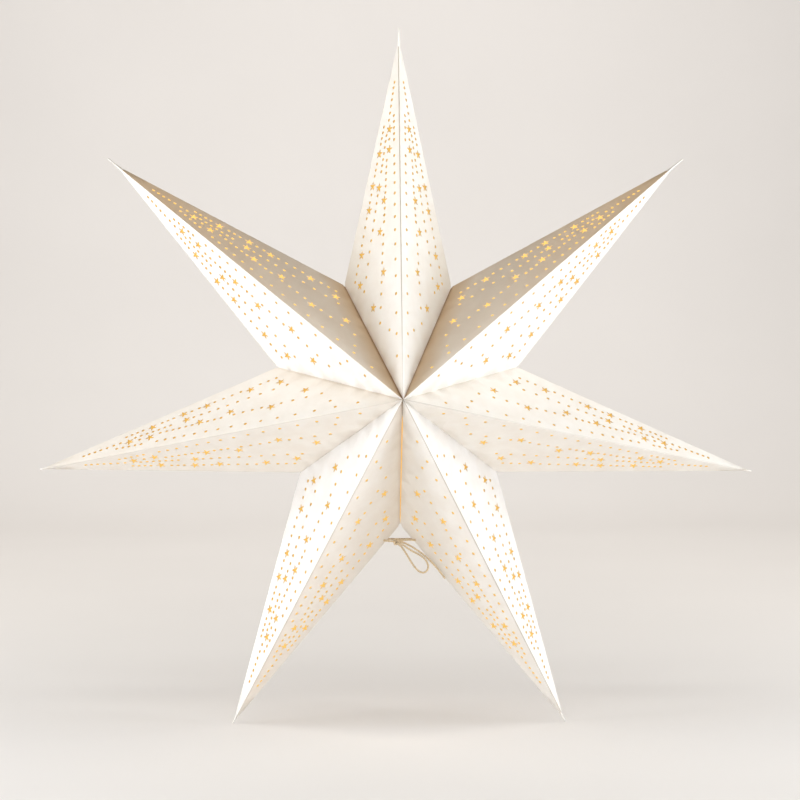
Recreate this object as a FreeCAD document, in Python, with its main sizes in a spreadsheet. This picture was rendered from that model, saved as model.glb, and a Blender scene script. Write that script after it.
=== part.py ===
"""Paper star lamp: seven folded and pierced paper points glued round one centre, a yellow
lining behind the piercing, a seam at the bottom held by a twine tie with a single bow, and a
small lamp holder with its bulb inside, standing on the glue tabs of that seam.

Frame: +Z up, the front of the star looks along -Y, +X to the right, millimetres.
The origin is on the standing plane, midway between the two lower tips.
"""
import FreeCAD, Part
import math
import os

from FreeCAD import Placement, Rotation, Vector

os.makedirs("parts", exist_ok=True)
document = FreeCAD.newDocument("paper_star_lamp")

# ---------------------------------------------------------------- driving dimensions
SIZES = [
    ("star_reach", 300.0),            # centre of the star to the end of a flat tip
    ("blade_length", 10.0),           # flat pinched end beyond the fold of the point
    ("blade_thickness", 1.2),         # four layers of paper pressed together
    ("blade_depth", 4.0),             # front to back, where the pinched end starts
    ("blade_end_depth", 1.0),         # the same at its very end
    ("valley_reach", 101.0),          # centre of the star to an inner corner
    ("half_depth", 95.0),             # centre of the star to its front or back apex
    ("paper_thickness", 0.35),
    ("lining_thickness", 0.15),
    ("lining_side_gap", 1.0),         # lining's edge to the inside of a glue tab
    ("lining_tip_gap", 2.0),          # lining's end to the pinched end of the point
    ("tab_width", 8.0),               # glue tab along each valley
    ("corner_hole_diameter", 2.0),    # pinhole left where two points meet at an inner corner
    ("seam_gap", 0.8),                # slit between the two lower points
    ("dot_diameter", 2.6),            # punched dot, a six-sided hole
    ("pierced_star_reach", 3.3),      # punched five-pointed star, centre to ray
    ("pierced_star_waist", 1.0),      # the same star, centre to notch
    ("twine_diameter", 1.5),
    ("twine_clearance", 0.35),        # twine to the wall of its hole
    ("tie_drop", 16.0),               # inner corner down to the tie holes
    ("tie_inset", 2.2),               # centre of a tie hole to the rim, across the star
    ("tie_bend_radius", 2.2),         # where the twine turns out of a hole
    ("knot_width", 8.0),
    ("knot_depth", 7.0),
    ("knot_height", 6.5),
    ("holder_diameter", 28.0),
    ("holder_length", 34.0),          # its straight barrel
    ("holder_foot_diameter", 12.0),
    ("holder_seat_clearance", 0.3),   # its cone to the edges of the seam's tabs
    ("lead_hole_diameter", 7.0),
    ("socket_depth", 26.0),
    ("socket_clearance", 0.25),       # bulb cap to the bore, all round
    ("bulb_cap_diameter", 14.0),
    ("bulb_cap_length", 24.0),
    ("bulb_contact_diameter", 8.0),
    ("bulb_contact_length", 3.0),
    ("bulb_neck_diameter", 16.0),
    ("bulb_neck_length", 16.0),
    ("bulb_globe_diameter", 45.0),
]
sheet = document.addObject("Spreadsheet::Sheet", "Sizes")
for row, (alias, value) in enumerate(SIZES, start=1):
    sheet.set("A%d" % row, alias)
    sheet.set("B%d" % row, str(value))
    sheet.setAlias("B%d" % row, alias)
document.recompute()


def size(alias):
    """One driving dimension, read from the sheet."""
    return float(sheet.get(alias))


def add_feature(label, shape, placement=Placement()):
    """A sub-part whose finished shape is set here, then placed."""
    feature = document.addObject("Part::Feature", label)
    feature.Label = label
    feature.Shape = shape
    feature.Placement = placement
    return feature


def add_bound(kind, label, **expressions):
    """A primitive whose properties follow expressions on the sheet."""
    item = document.addObject(kind, label)
    item.Label = label
    for name, expression in expressions.items():
        item.setExpression(name.replace("__", "."), expression)
    return item


POINTS = 7
STEP = 2 * math.pi / POINTS
HUB_HEIGHT = (size("star_reach") * math.cos(STEP / 2)
              + size("blade_thickness") / 2 * math.sin(STEP / 2))
HUB = Vector(0, 0, HUB_HEIGHT)

# ---------------------------------------------------------------- one folded point
# Worked out about the star's centre for the point that stands straight up; the others are
# the same point turned about Y. Four facets meet along the front and back ridges and the
# two rims, and the two side planes hold the tabs that are glued to the neighbouring points.
APEX = Vector(0, 0, size("star_reach") - size("blade_length"))
FRONT = Vector(0, -size("half_depth"), 0)
BACK = Vector(0, size("half_depth"), 0)
MIDDLE = Vector(0, 0, size("valley_reach"))       # a place inside the upright point
BLADE_ROOT = APEX.z - size("blade_length")        # where the pinched end starts


def inner_corner(side):
    """The inner corner on the left (-1) or right (+1) of the upright point."""
    angle = side * STEP / 2
    return Vector(math.sin(angle), 0, math.cos(angle)) * size("valley_reach")


def facets():
    """Each facet as its apex, the centre end of its ridge and its inner corner."""
    return [(APEX, hub_end, inner_corner(side)) for hub_end in (FRONT, BACK) for side in (-1, 1)]


def outward_normal(first, second, third):
    """The unit normal of a plane through three places, pointing out of the upright point."""
    normal = (second - first).cross(third - first).normalize()
    return normal if normal.dot(first - MIDDLE) > 0 else normal * -1


def behind_plane(shape, place, normal):
    """What a shape has behind a plane."""
    reach = 4 * size("star_reach")
    return shape.cut(Part.makeCylinder(reach, reach, place, normal))


def point_body(facet_inset, left_inset, right_inset):
    """The space inside the upright point's facets and side planes, each moved inwards."""
    half_angle = STEP / 2
    root = Vector((left_inset - right_inset) / (2 * math.cos(half_angle)), -size("star_reach"),
                  (left_inset + right_inset) / (2 * math.sin(half_angle)))
    far = 2 * size("star_reach")
    left = root + Vector(-math.sin(half_angle), 0, math.cos(half_angle)) * far
    right = root + Vector(math.sin(half_angle), 0, math.cos(half_angle)) * far
    wedge = Part.Face(Part.makePolygon([root, left, right, root]))
    body = wedge.extrude(Vector(0, 2 * size("star_reach"), 0))
    for apex, hub_end, corner in facets():
        normal = outward_normal(apex, hub_end, corner)
        body = behind_plane(body, apex - normal * facet_inset, normal)
    return body


VALLEY_LENGTH = math.hypot(size("half_depth"), size("valley_reach"))
TAB_ALONG_DEPTH = size("tab_width") * VALLEY_LENGTH / size("valley_reach")
TAB_ALONG_REACH = size("tab_width") * VALLEY_LENGTH / size("half_depth")


def side_window(side):
    """The opening between the glue tabs of one side plane."""
    corner = inner_corner(side)
    normal = outward_normal(FRONT, BACK, corner)
    inner_front = Vector(0, TAB_ALONG_DEPTH - size("half_depth"), 0)
    inner_tip = corner * (1 - TAB_ALONG_REACH / size("valley_reach"))
    inner_back = Vector(0, size("half_depth") - TAB_ALONG_DEPTH, 0)
    half_thick = size("seam_gap") + 4 * size("paper_thickness")
    opening = Part.Face(Part.makePolygon([inner_front, inner_tip, inner_back, inner_front]))
    opening.translate(normal * -half_thick)
    return opening.extrude(normal * (2 * half_thick))


def corner_pinhole(side):
    """The cutter for the pinhole at one inner corner, front to back."""
    start = inner_corner(side) + FRONT
    radius = size("corner_hole_diameter") / 2
    return Part.makeCylinder(radius, 2 * size("half_depth"), start, Vector(0, 1, 0))


def tip_blade():
    """The end of the point, pinched flat sideways, so that the front shows it edge-on."""
    half_root = size("blade_depth") / 2
    half_end = size("blade_end_depth") / 2
    left = -size("blade_thickness") / 2
    corners = [Vector(left, -half_root, BLADE_ROOT), Vector(left, -half_end, size("star_reach")),
               Vector(left, half_end, size("star_reach")), Vector(left, half_root, BLADE_ROOT)]
    outline = Part.Face(Part.makePolygon(corners + corners[:1]))
    return outline.extrude(Vector(size("blade_thickness"), 0, 0))


# ---------------------------------------------------------------- piercing
# The pattern fans out from the tip in four straight rows of dots with small stars between.
# A place on a facet is two shares: along the ridge from the tip to the centre of the star,
# and across from the ridge to the inner corner.
def spread(first, last, count, growth=1.0):
    """Places from first to last, each gap longer than the one before by the given growth."""
    gaps = [growth ** number for number in range(count - 1)]
    return [first + (last - first) * sum(gaps[:number]) / sum(gaps) for number in range(count)]


def row_of_dots(start, end, *runs):
    """Dots along the straight row from start to end, each run spread over its own stretch."""
    dots = []
    for run in runs:
        for along in spread(*run):
            share = (along - start[0]) / (end[0] - start[0])
            dots.append((along, start[1] + share * (end[1] - start[1])))
    return dots


DOTS = (row_of_dots((0.208, 0.095), (0.878, 0.095), (0.208, 0.277, 5), (0.322, 0.878, 15, 1.075))
        + row_of_dots((0.240, 0.195), (0.769, 0.372), (0.325, 0.414, 6), (0.457, 0.494, 3),
                      (0.530, 0.606, 4), (0.659, 0.769, 4, 1.15))
        + row_of_dots((0.114, 0.078), (0.662, 0.645), (0.114, 0.214, 7, 1.05),
                      (0.254, 0.349, 7), (0.412, 0.662, 10, 1.08))
        + row_of_dots((0.226, 0.268), (0.624, 0.807), (0.226, 0.270, 4), (0.321, 0.352, 3),
                      (0.400, 0.420, 2), (0.461, 0.530, 4), (0.582, 0.624, 3))
        + [(0.269, 0.176), (0.799, 0.212)])
PIERCED_STARS = [(0.240, 0.173), (0.298, 0.180), (0.434, 0.278), (0.517, 0.353),
                 (0.633, 0.300), (0.392, 0.363), (0.296, 0.352), (0.378, 0.478),
                 (0.441, 0.545), (0.557, 0.685), (0.640, 0.718), (0.719, 0.486)]


def punch(centre, first_axis, second_axis, radii):
    """A short prism through the paper at centre, its corners at the given radii in turn."""
    corners = []
    for number, radius in enumerate(radii):
        angle = 2 * math.pi * number / len(radii)
        corners.append(centre + first_axis * (radius * math.cos(angle))
                       + second_axis * (radius * math.sin(angle)))
    outline = Part.Face(Part.makePolygon(corners + corners[:1]))
    stroke = first_axis.cross(second_axis) * (8 * size("paper_thickness"))
    outline.translate(stroke * -0.5)
    return outline.extrude(stroke)


def punches():
    """Every punch through the four facets of the upright point."""
    dot = [size("dot_diameter") / 2] * 6
    pierced_star = [size("pierced_star_reach"), size("pierced_star_waist")] * 5
    tools = []
    for apex, hub_end, corner in facets():
        ridge = hub_end - apex
        tip_axis = Vector(ridge).normalize() * -1
        across = corner - apex - tip_axis * (corner - apex).dot(tip_axis)
        across_axis = Vector(across).normalize()
        for places, radii in ((DOTS, dot), (PIERCED_STARS, pierced_star)):
            for along, aside in places:
                centre = apex + ridge * along + across * aside
                tools.append(punch(centre, tip_axis, across_axis, radii))
    return Part.makeCompound(tools)


# ---------------------------------------------------------------- tie holes
# The twine runs front to back through one hole near the rim of each lower point. The places
# of the tie are measured from the star's centre: to the side, and down.
APEX_SIDE = APEX.z * math.sin(STEP / 2)
APEX_DROP = APEX.z * math.cos(STEP / 2)
TIE_LEVEL = size("valley_reach") + size("tie_drop")
TIE_SIDE = size("tie_drop") * APEX_SIDE / (APEX_DROP - size("valley_reach")) + size("tie_inset")


def paper_depth(aside, drop):
    """From the star's middle plane to the outside of a lower point's seam facet."""
    apex_share = aside / APEX_SIDE
    corner_share = (drop - apex_share * APEX_DROP) / size("valley_reach")
    return size("half_depth") * (1 - apex_share - corner_share)


def tie_hole(side):
    """The cutter for the hole in the left (-1) or right (+1) lower point."""
    start = Vector(side * TIE_SIDE, -size("half_depth"), -TIE_LEVEL)
    radius = size("twine_diameter") / 2 + size("twine_clearance")
    return Part.makeCylinder(radius, 2 * size("half_depth"), start, Vector(0, 1, 0))


# ---------------------------------------------------------------- the seven paper points
PUNCHES = punches()


def paper_pouch(left_gap, right_gap):
    """The upright point as one folded sheet, set back from each side plane by its gap."""
    wall = size("paper_thickness")
    pouch = point_body(0, left_gap, right_gap)
    pouch = pouch.cut(point_body(wall, left_gap + wall, right_gap + wall))
    for side in (-1, 1):
        pouch = pouch.cut(side_window(side)).cut(corner_pinhole(side))
    pouch = pouch.fuse(tip_blade()).removeSplitter()
    return pouch.cut(PUNCHES).Solids[0]


def paper_lining():
    """The thin sheet glued inside the upright point, short of its glue tabs and its tip."""
    outer = size("paper_thickness")
    inner = outer + size("lining_thickness")
    side = size("paper_thickness") + size("seam_gap") / 2 + size("lining_side_gap")
    top = Vector(0, 0, BLADE_ROOT - size("lining_tip_gap"))
    whole = point_body(outer, side, side).cut(point_body(inner, -side, -side))
    return behind_plane(whole, top, Vector(0, 0, 1)).Solids[0]


def turned_point(number):
    """The turn of a point, counted anticlockwise from the upright one as seen from the front."""
    return Rotation(Vector(0, 1, 0), -math.degrees(STEP) * (number - 1))


SEAM_LEFT = (POINTS + 1) // 2
SEAM_RIGHT = SEAM_LEFT + 1
HALF_GAP = size("seam_gap") / 2
PLAIN_POUCH = paper_pouch(0, 0)
SEAM_POUCHES = {SEAM_LEFT: paper_pouch(HALF_GAP, 0), SEAM_RIGHT: paper_pouch(0, HALF_GAP)}
LINING = paper_lining()

for number in range(1, POINTS + 1):
    turn = turned_point(number)
    pouch = SEAM_POUCHES.get(number, PLAIN_POUCH)
    lining = LINING
    if number in SEAM_POUCHES:
        hole = tie_hole(-1 if number == SEAM_LEFT else 1)
        hole.Placement = Placement(Vector(), turn.inverted())
        pouch = pouch.cut(hole).Solids[0]
        lining = lining.cut(hole).Solids[0]
    add_feature("point_%d" % number, pouch, Placement(HUB, turn))
    add_feature("lining_%d" % number, lining, Placement(HUB, turn))


# ---------------------------------------------------------------- twine tie
def cord(name, points, bend_radius=None):
    """A round cord of straight runs joined by tangent arcs, as large as the runs allow."""
    edges = []
    radii = []
    start = points[0]
    for before, corner, after in zip(points, points[1:], points[2:]):
        arriving = (corner - before).normalize()
        leaving = (after - corner).normalize()
        half_turn = arriving.getAngle(leaving) / 2
        shorter_run = min((corner - before).Length, (after - corner).Length)
        radius = bend_radius or 0.45 * shorter_run / math.tan(half_turn)
        trim = radius * math.tan(half_turn)
        inward = (leaving - arriving).normalize()
        crown = corner + inward * (radius / math.cos(half_turn) - radius)
        edges.append(Part.LineSegment(start, corner - arriving * trim).toShape())
        edges.append(Part.Arc(corner - arriving * trim, crown, corner + leaving * trim).toShape())
        radii.append(radius)
        start = corner + leaving * trim
    edges.append(Part.LineSegment(start, points[-1]).toShape())
    path = Part.Wire(edges)
    section = Part.Wire(Part.makeCircle(size("twine_diameter") / 2, points[0],
                                        (points[1] - points[0]).normalize()))
    solid = path.makePipeShell([section], True, False)
    expected = math.pi * size("twine_diameter") ** 2 / 4 * path.Length
    print("%s: length %.1f, radii %s, volume %.1f of %.1f"
          % (name, path.Length, " ".join("%.1f" % radius for radius in radii),
             solid.Volume, expected))
    return solid


# The band comes out of the knot, through the right hole to the back, across behind the seam
# and through the left hole to the front again.
BAND_DEPTH = paper_depth(TIE_SIDE, TIE_LEVEL) + size("tie_bend_radius")
TIE_FRONT = HUB + Vector(0, -BAND_DEPTH, -TIE_LEVEL)
KNOT = TIE_FRONT + Vector(-0.8, -2.1, -1.0)
BAND_END = size("twine_diameter")
band_points = [TIE_FRONT + Vector(BAND_END, 0, 0), TIE_FRONT + Vector(TIE_SIDE, 0, 0),
               TIE_FRONT + Vector(TIE_SIDE, 2 * BAND_DEPTH, 0),
               TIE_FRONT + Vector(-TIE_SIDE, 2 * BAND_DEPTH, 0),
               TIE_FRONT + Vector(-TIE_SIDE, 0, 0), TIE_FRONT - Vector(BAND_END, 0, 0)]
# The bow is one long loop that droops to the right, and the tail follows the rim of the
# right lower point. Both are measured from the knot.
bow_points = [KNOT + Vector(*place) for place in (
    (-0.6, -0.4, -0.9), (2.8, -0.9, -2.8), (6.7, -1.6, -8.2), (11.4, -2.2, -16.4),
    (15.8, -2.8, -22.6), (20.4, -3.2, -25.6), (24.6, -3.3, -24.0), (25.8, -3.2, -19.4),
    (23.4, -3.1, -14.4), (18.3, -3.0, -10.4), (11.6, -2.8, -7.2), (6.3, -2.4, -3.3),
    (1.7, -2.0, -0.6))]
tail_points = [KNOT + Vector(*place) for place in (
    (1.4, 0.1, 0.4), (4.4, 0.1, -0.4), (9.3, 0.3, -2.4), (15.3, 0.7, -6.2),
    (21.3, 1.2, -10.4), (27.0, 1.8, -15.5), (32.6, 2.4, -21.7), (36.8, 2.8, -27.0),
    (39.6, 3.0, -30.9))]
band = cord("tie_band", band_points, size("tie_bend_radius"))
bow = cord("tie_bow", bow_points)
tail = cord("tie_tail", tail_points)
add_feature("tie_band", band)
add_feature("tie_bow", bow)
add_feature("tie_tail", tail)

# The knot is one lump of twine wrapped round the strands that run into it.
lump = Part.makeSphere(0.5)
stretch = FreeCAD.Matrix()
stretch.scale(size("knot_width"), size("knot_depth"), size("knot_height"))
lump = lump.transformGeometry(stretch)
lump.translate(KNOT)
add_feature("tie_knot", lump.cut([band, bow, tail]).Solids[0])

# ---------------------------------------------------------------- lamp holder
# It stands inside on the seam: its cone rests between the edges of the front and back tabs,
# whose slope it shares. Heights are written from the standing plane.
TAB_SLOPE = "(Sizes.valley_reach / Sizes.half_depth)"
VALLEY = "sqrt(Sizes.valley_reach ^ 2 + Sizes.half_depth ^ 2)"
TAB_CORNER = ("(%.6f mm - Sizes.valley_reach * 1 mm + Sizes.tab_width * 1 mm * %s / Sizes.half_depth)"
              % (HUB_HEIGHT, VALLEY))
FOOT_HEIGHT = ("%s + Sizes.holder_foot_diameter / 2 * 1 mm * %s"
               " + Sizes.holder_seat_clearance * 1 mm * %s / Sizes.half_depth"
               % (TAB_CORNER, TAB_SLOPE, VALLEY))
CONE_HEIGHT = "(Sizes.holder_diameter - Sizes.holder_foot_diameter) / 2 * 1 mm * %s" % TAB_SLOPE

cone = add_bound("Part::Cone", "holder_cone",
                 Radius1="Sizes.holder_foot_diameter / 2 * 1 mm",
                 Radius2="Sizes.holder_diameter / 2 * 1 mm",
                 Height=CONE_HEIGHT, Placement__Base__z=FOOT_HEIGHT)
barrel = add_bound("Part::Cylinder", "holder_barrel",
                   Radius="Sizes.holder_diameter / 2 * 1 mm",
                   Height="Sizes.holder_length * 1 mm",
                   Placement__Base__z="holder_cone.Placement.Base.z + holder_cone.Height")
outside = document.addObject("Part::MultiFuse", "holder_outside")
outside.Shapes = [cone, barrel]
socket = add_bound("Part::Cylinder", "holder_socket",
                   Radius="(Sizes.bulb_cap_diameter / 2 + Sizes.socket_clearance) * 1 mm",
                   Height="Sizes.socket_depth * 1 mm",
                   Placement__Base__z="holder_barrel.Placement.Base.z + holder_barrel.Height"
                                      " - Sizes.socket_depth * 1 mm")
lead_hole = add_bound("Part::Cylinder", "holder_lead_hole",
                      Radius="Sizes.lead_hole_diameter / 2 * 1 mm",
                      Height="holder_cone.Height + holder_barrel.Height",
                      Placement__Base__z="holder_cone.Placement.Base.z")
hollow = document.addObject("Part::MultiFuse", "holder_hollow")
hollow.Shapes = [socket, lead_hole]
holder = document.addObject("Part::Cut", "lamp_holder")
holder.Base = outside
holder.Tool = hollow

# ---------------------------------------------------------------- bulb
# A sealed globe bulb: contact, cap, neck and glass as one solid, seated on the socket floor.
contact = add_bound("Part::Cylinder", "bulb_contact",
                    Radius="Sizes.bulb_contact_diameter / 2 * 1 mm",
                    Height="Sizes.bulb_contact_length * 1 mm",
                    Placement__Base__z="holder_socket.Placement.Base.z")
cap = add_bound("Part::Cylinder", "bulb_cap",
                Radius="Sizes.bulb_cap_diameter / 2 * 1 mm",
                Height="Sizes.bulb_cap_length * 1 mm",
                Placement__Base__z="bulb_contact.Placement.Base.z + bulb_contact.Height")
neck = add_bound("Part::Cone", "bulb_neck",
                 Radius1="Sizes.bulb_neck_diameter / 2 * 1 mm",
                 Radius2="sqrt((Sizes.bulb_globe_diameter / 2) ^ 2"
                         " - Sizes.bulb_neck_length ^ 2) * 1 mm",
                 Height="Sizes.bulb_neck_length * 1 mm",
                 Placement__Base__z="bulb_cap.Placement.Base.z + bulb_cap.Height")
globe = add_bound("Part::Sphere", "bulb_globe",
                  Radius="Sizes.bulb_globe_diameter / 2 * 1 mm",
                  Placement__Base__z="bulb_neck.Placement.Base.z + 2 * bulb_neck.Height")
bulb = document.addObject("Part::MultiFuse", "bulb")
bulb.Shapes = [contact, cap, neck, globe]

# ---------------------------------------------------------------- check and export
document.recompute()
NODES = (["point_%d" % number for number in range(1, POINTS + 1)]
         + ["lining_%d" % number for number in range(1, POINTS + 1)]
         + ["tie_band", "tie_bow", "tie_tail", "tie_knot", "lamp_holder", "bulb"])
for item in document.Objects:
    if "Invalid" in item.State or "Error" in item.State:
        raise RuntimeError("%s failed to build" % item.Label)
for name in NODES:
    shape = document.getObject(name).Shape
    if shape.isNull() or not shape.isValid() or len(shape.Solids) != 1:
        raise RuntimeError("%s has no sound single solid" % name)
for name in NODES:
    document.getObject(name).Shape.exportStep("parts/%s.step" % name)
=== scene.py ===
"""Paper star lamp: seven folded and punched points of white card round one centre, a golden
lining in each, a twine tie with a single bow at the seam, a lamp holder and its bulb.
Metres throughout, in the frame of the CAD model: Z up, the front of the star towards -Y.
"""
import math
import bpy
import numpy as np
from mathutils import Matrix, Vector
from mathutils.geometry import delaunay_2d_cdt


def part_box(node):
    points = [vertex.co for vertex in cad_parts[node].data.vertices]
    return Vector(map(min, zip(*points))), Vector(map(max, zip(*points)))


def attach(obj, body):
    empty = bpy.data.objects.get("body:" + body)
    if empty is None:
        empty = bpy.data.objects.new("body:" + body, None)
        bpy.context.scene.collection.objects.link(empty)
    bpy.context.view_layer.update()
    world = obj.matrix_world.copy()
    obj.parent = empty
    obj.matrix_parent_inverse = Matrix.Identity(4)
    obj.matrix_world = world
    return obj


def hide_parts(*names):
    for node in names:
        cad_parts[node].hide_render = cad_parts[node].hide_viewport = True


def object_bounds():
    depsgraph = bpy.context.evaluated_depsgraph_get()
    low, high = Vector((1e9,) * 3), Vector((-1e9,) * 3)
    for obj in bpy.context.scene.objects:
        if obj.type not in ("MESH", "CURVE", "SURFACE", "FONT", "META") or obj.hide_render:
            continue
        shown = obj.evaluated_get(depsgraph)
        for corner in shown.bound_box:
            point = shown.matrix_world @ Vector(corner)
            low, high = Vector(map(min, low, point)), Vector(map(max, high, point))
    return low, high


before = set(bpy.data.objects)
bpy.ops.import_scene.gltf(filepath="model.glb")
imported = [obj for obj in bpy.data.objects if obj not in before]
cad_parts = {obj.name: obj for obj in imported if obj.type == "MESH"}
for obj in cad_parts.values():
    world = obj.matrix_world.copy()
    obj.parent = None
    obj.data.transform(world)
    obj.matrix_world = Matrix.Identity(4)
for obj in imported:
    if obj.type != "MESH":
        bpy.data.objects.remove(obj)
cad_low, cad_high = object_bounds()
MM = 0.001


# ---------------------------------------------------------------- folded card points
# Seven equal points stand round the centre, counted anticlockwise as the front shows them, and
# inner corner k lies between point k and point k + 1. Each is one sheet of card, punched flat,
# then folded into four facets whose side tabs are glued to the next points.
POINTS = 7
TURN = 2 * math.pi / POINTS
TIP_REACH = 300 * MM
HUB = np.array([0.0, 0.0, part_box("point_1")[1].z - TIP_REACH])
HALF_DEPTH = cad_high.y
FOLD_REACH = 290 * MM            # centre to the place where the four facets of a point meet
CORNER_REACH = 101 * MM          # centre to an inner corner
CARD_THICKNESS = 0.35 * MM
TAB_WIDTH = 8 * MM
FACING_START = 13 * MM           # the tabs' golden facing stops this far from the centre
TAB_PAINTED_GLOW = 0.55                 # painted glow on the facing, standing in for light from inside
FOLD_STRIP = 0.7 * MM            # how far a fold's rounding reaches into each facet
FOLD_STEP = 9 * MM               # steps along the ridge and the rim
GLUED_STEP = 6 * MM              # steps along the glued edge
FILL_STEP = 11 * MM              # the loose grid that lets a facet bow
FILL_START = np.array([6, 5]) * MM
FILL_CLEARANCE = 3 * MM          # how far that grid stays off the folds
HOLE_CLEARANCE = 1.2 * MM        # and off the holes
RIPPLE = 0.16 * MM
SHARP_ANGLE = math.radians(104)  # shading is smooth over folds up to this
PINHOLE_RADIUS = 1.3 * MM        # hole left at an inner corner
PINHOLE_POINTS = 7               # on the part of it that is cut from one facet
SEAM_CORNER = 3                  # the corner whose seam is tied with twine and not glued
SEAM_HALF_GAP = 0.6 * MM
SEAM_DRAW = 0.3 * MM             # how much further the tied seam opens on each side
GLUE_HALF_GAP = 0.05 * MM
HUB_SPREAD = 2.3                 # in half gaps off the centre, so that the points clear there
TAB_ON_SHEET = 12 * MM           # where the sheet map shows the tabs, aside from their fold
TIP_ON_SHEET = 3 * MM            # and where it shows the pinched ends

# Hand folding leaves every tip, inner corner and front centre a few millimetres off, across
# and up. Neighbours that share a corner move together.
TIP_SHIFT = np.array([[0.5, -2.5], [-0.7, 4.2], [1.2, 6.0], [-5.5, 0.3], [7.4, 0.3],
                      [-1.8, 2.7], [-2.2, 4.3]]) * MM
CORNER_SHIFT = np.array([[0.2, -2.8], [0.4, -0.5], [-0.7, -0.7], [1.5, -6.0], [1.4, -0.7],
                         [-1.3, -0.7], [-0.6, -4.1]]) * MM
HUB_SHIFT = np.array([[0.5, 0.5], [-0.1, 0.3], [-0.5, 0.0], [-0.5, -0.3], [0.3, -0.6],
                      [0.4, -0.1], [0.1, 0.3]]) * MM
FOLD_DRAWN = np.array([0, 0, 8, 8, 6, 7, 0]) * MM    # how much nearer its tip each fold ends


def outwards(turns, reach):
    """Places at a reach from the centre, turned anticlockwise from straight up."""
    angle = np.asarray(turns) * TURN
    return np.stack([-np.sin(angle), 0 * angle, np.cos(angle)], axis=-1) * reach


def across_and_up(shift):
    """Shifts across and up as shifts in space."""
    return np.stack([shift[..., 0], 0 * shift[..., 0], shift[..., 1]], axis=-1)


def unit(vectors):
    """Vectors brought to length one."""
    return vectors / np.linalg.norm(vectors, axis=-1, keepdims=True)


# How much painted shade lies along each ridge, at the centre and from a third of the way out, and
# how much painted brown shade the clockwise and the anticlockwise half of each point takes,
# fullest on the two halves in the top point's shadow.
RIDGE_SHADE_SPAN = [0.08, 0.33]
RIDGE_SHADE = [(0.25, 1.0), (0.0, 0.0), (0.15, 0.15), (0.4, 0.4), (0.9, 0.9), (0.4, 0.15), (0.0, 0.0)]
PAINTED_SHADE_BY_HALF = [(0.0, 0.15), (1.0, 0.0), (0.2, 0.05), (0.0, 0.25), (0.0, 0.0), (0.0, 0.0), (0.0, 1.0)]

AXES = outwards(np.arange(POINTS), 1.0)
FOLD_ENDS = AXES * (FOLD_REACH + FOLD_DRAWN)[:, None] + across_and_up(TIP_SHIFT)
CORNERS = outwards(np.arange(POINTS) + 0.5, CORNER_REACH) + across_and_up(CORNER_SHIFT)

# A place on a facet laid flat is measured along the ridge from the fold's end, and aside
# from the ridge. All facets share the flat shape of an exact point.
RIDGE_LENGTH = math.hypot(FOLD_REACH, HALF_DEPTH)
RIM_LENGTH = math.sqrt(CORNER_REACH ** 2 + FOLD_REACH ** 2
                       - 2 * CORNER_REACH * FOLD_REACH * math.cos(TURN / 2))
CORNER_ALONG = (FOLD_REACH * (FOLD_REACH - CORNER_REACH * math.cos(TURN / 2))) / RIDGE_LENGTH ** 2
CORNER_ASIDE = math.sqrt(RIM_LENGTH ** 2 - (CORNER_ALONG * RIDGE_LENGTH) ** 2)
FLAT_SIZE = np.array([RIDGE_LENGTH, CORNER_ASIDE])
FLAT_CORNER = np.array([CORNER_ALONG, 1.0]) * FLAT_SIZE
FLAT_HUB = np.array([1.0, 0.0]) * FLAT_SIZE


def spread(first, last, count, growth=1.0):
    """Places from first to last, each gap longer than the one before by the given growth."""
    gaps = np.concatenate([[0.0], np.cumsum(growth ** np.arange(count - 1))])
    return first + (last - first) * gaps / gaps[-1]


def row_of_dots(start, end, *runs):
    """Dots along the straight row from start to end, each run spread over its own stretch."""
    along = np.concatenate([spread(*run) for run in runs])
    share = (along - start[0]) / (end[0] - start[0])
    return np.stack([along, start[1] + share * (end[1] - start[1])], axis=1)


# The punching, as shares of the flat size: rows of round dots, and five-rayed stars with one
# ray towards the fold's end, a little askew.
DOT_RADIUS = 1.36 * MM
STAR_REACH = 4.2 * MM
STAR_SHOULDER = 2.75 * MM
STAR_WAIST = 1.5 * MM
STAR_TURN = math.pi + 0.26
DOTS = np.concatenate([
    row_of_dots((0.208, 0.095), (0.878, 0.095), (0.208, 0.277, 5), (0.322, 0.878, 15, 1.075)),
    row_of_dots((0.240, 0.195), (0.769, 0.372), (0.325, 0.414, 6), (0.457, 0.494, 3),
                (0.530, 0.606, 4), (0.659, 0.769, 4, 1.15)),
    row_of_dots((0.114, 0.078), (0.662, 0.645), (0.114, 0.214, 7, 1.05),
                (0.254, 0.349, 7), (0.412, 0.662, 10, 1.08)),
    row_of_dots((0.226, 0.268), (0.624, 0.807), (0.226, 0.270, 4), (0.321, 0.352, 3),
                (0.400, 0.420, 2), (0.461, 0.530, 4), (0.582, 0.624, 3)),
    [(0.269, 0.176), (0.799, 0.212)]]) * FLAT_SIZE
STARS = np.array([(0.240, 0.173), (0.298, 0.180), (0.434, 0.278), (0.517, 0.353),
                  (0.633, 0.300), (0.392, 0.363), (0.296, 0.352), (0.378, 0.478),
                  (0.441, 0.545), (0.557, 0.685), (0.640, 0.718), (0.719, 0.486)]) * FLAT_SIZE


def punched(centres, radii, turn=0.0):
    """Closed outlines round the centres, their corners at the given radii in turn."""
    angle = 2 * np.pi * np.arange(len(radii)) / len(radii) + turn
    ring = np.stack([np.cos(angle), np.sin(angle)], axis=1) * np.asarray(radii)[:, None]
    return list(np.asarray(centres)[:, None, :] + ring[None, :, :])


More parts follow.
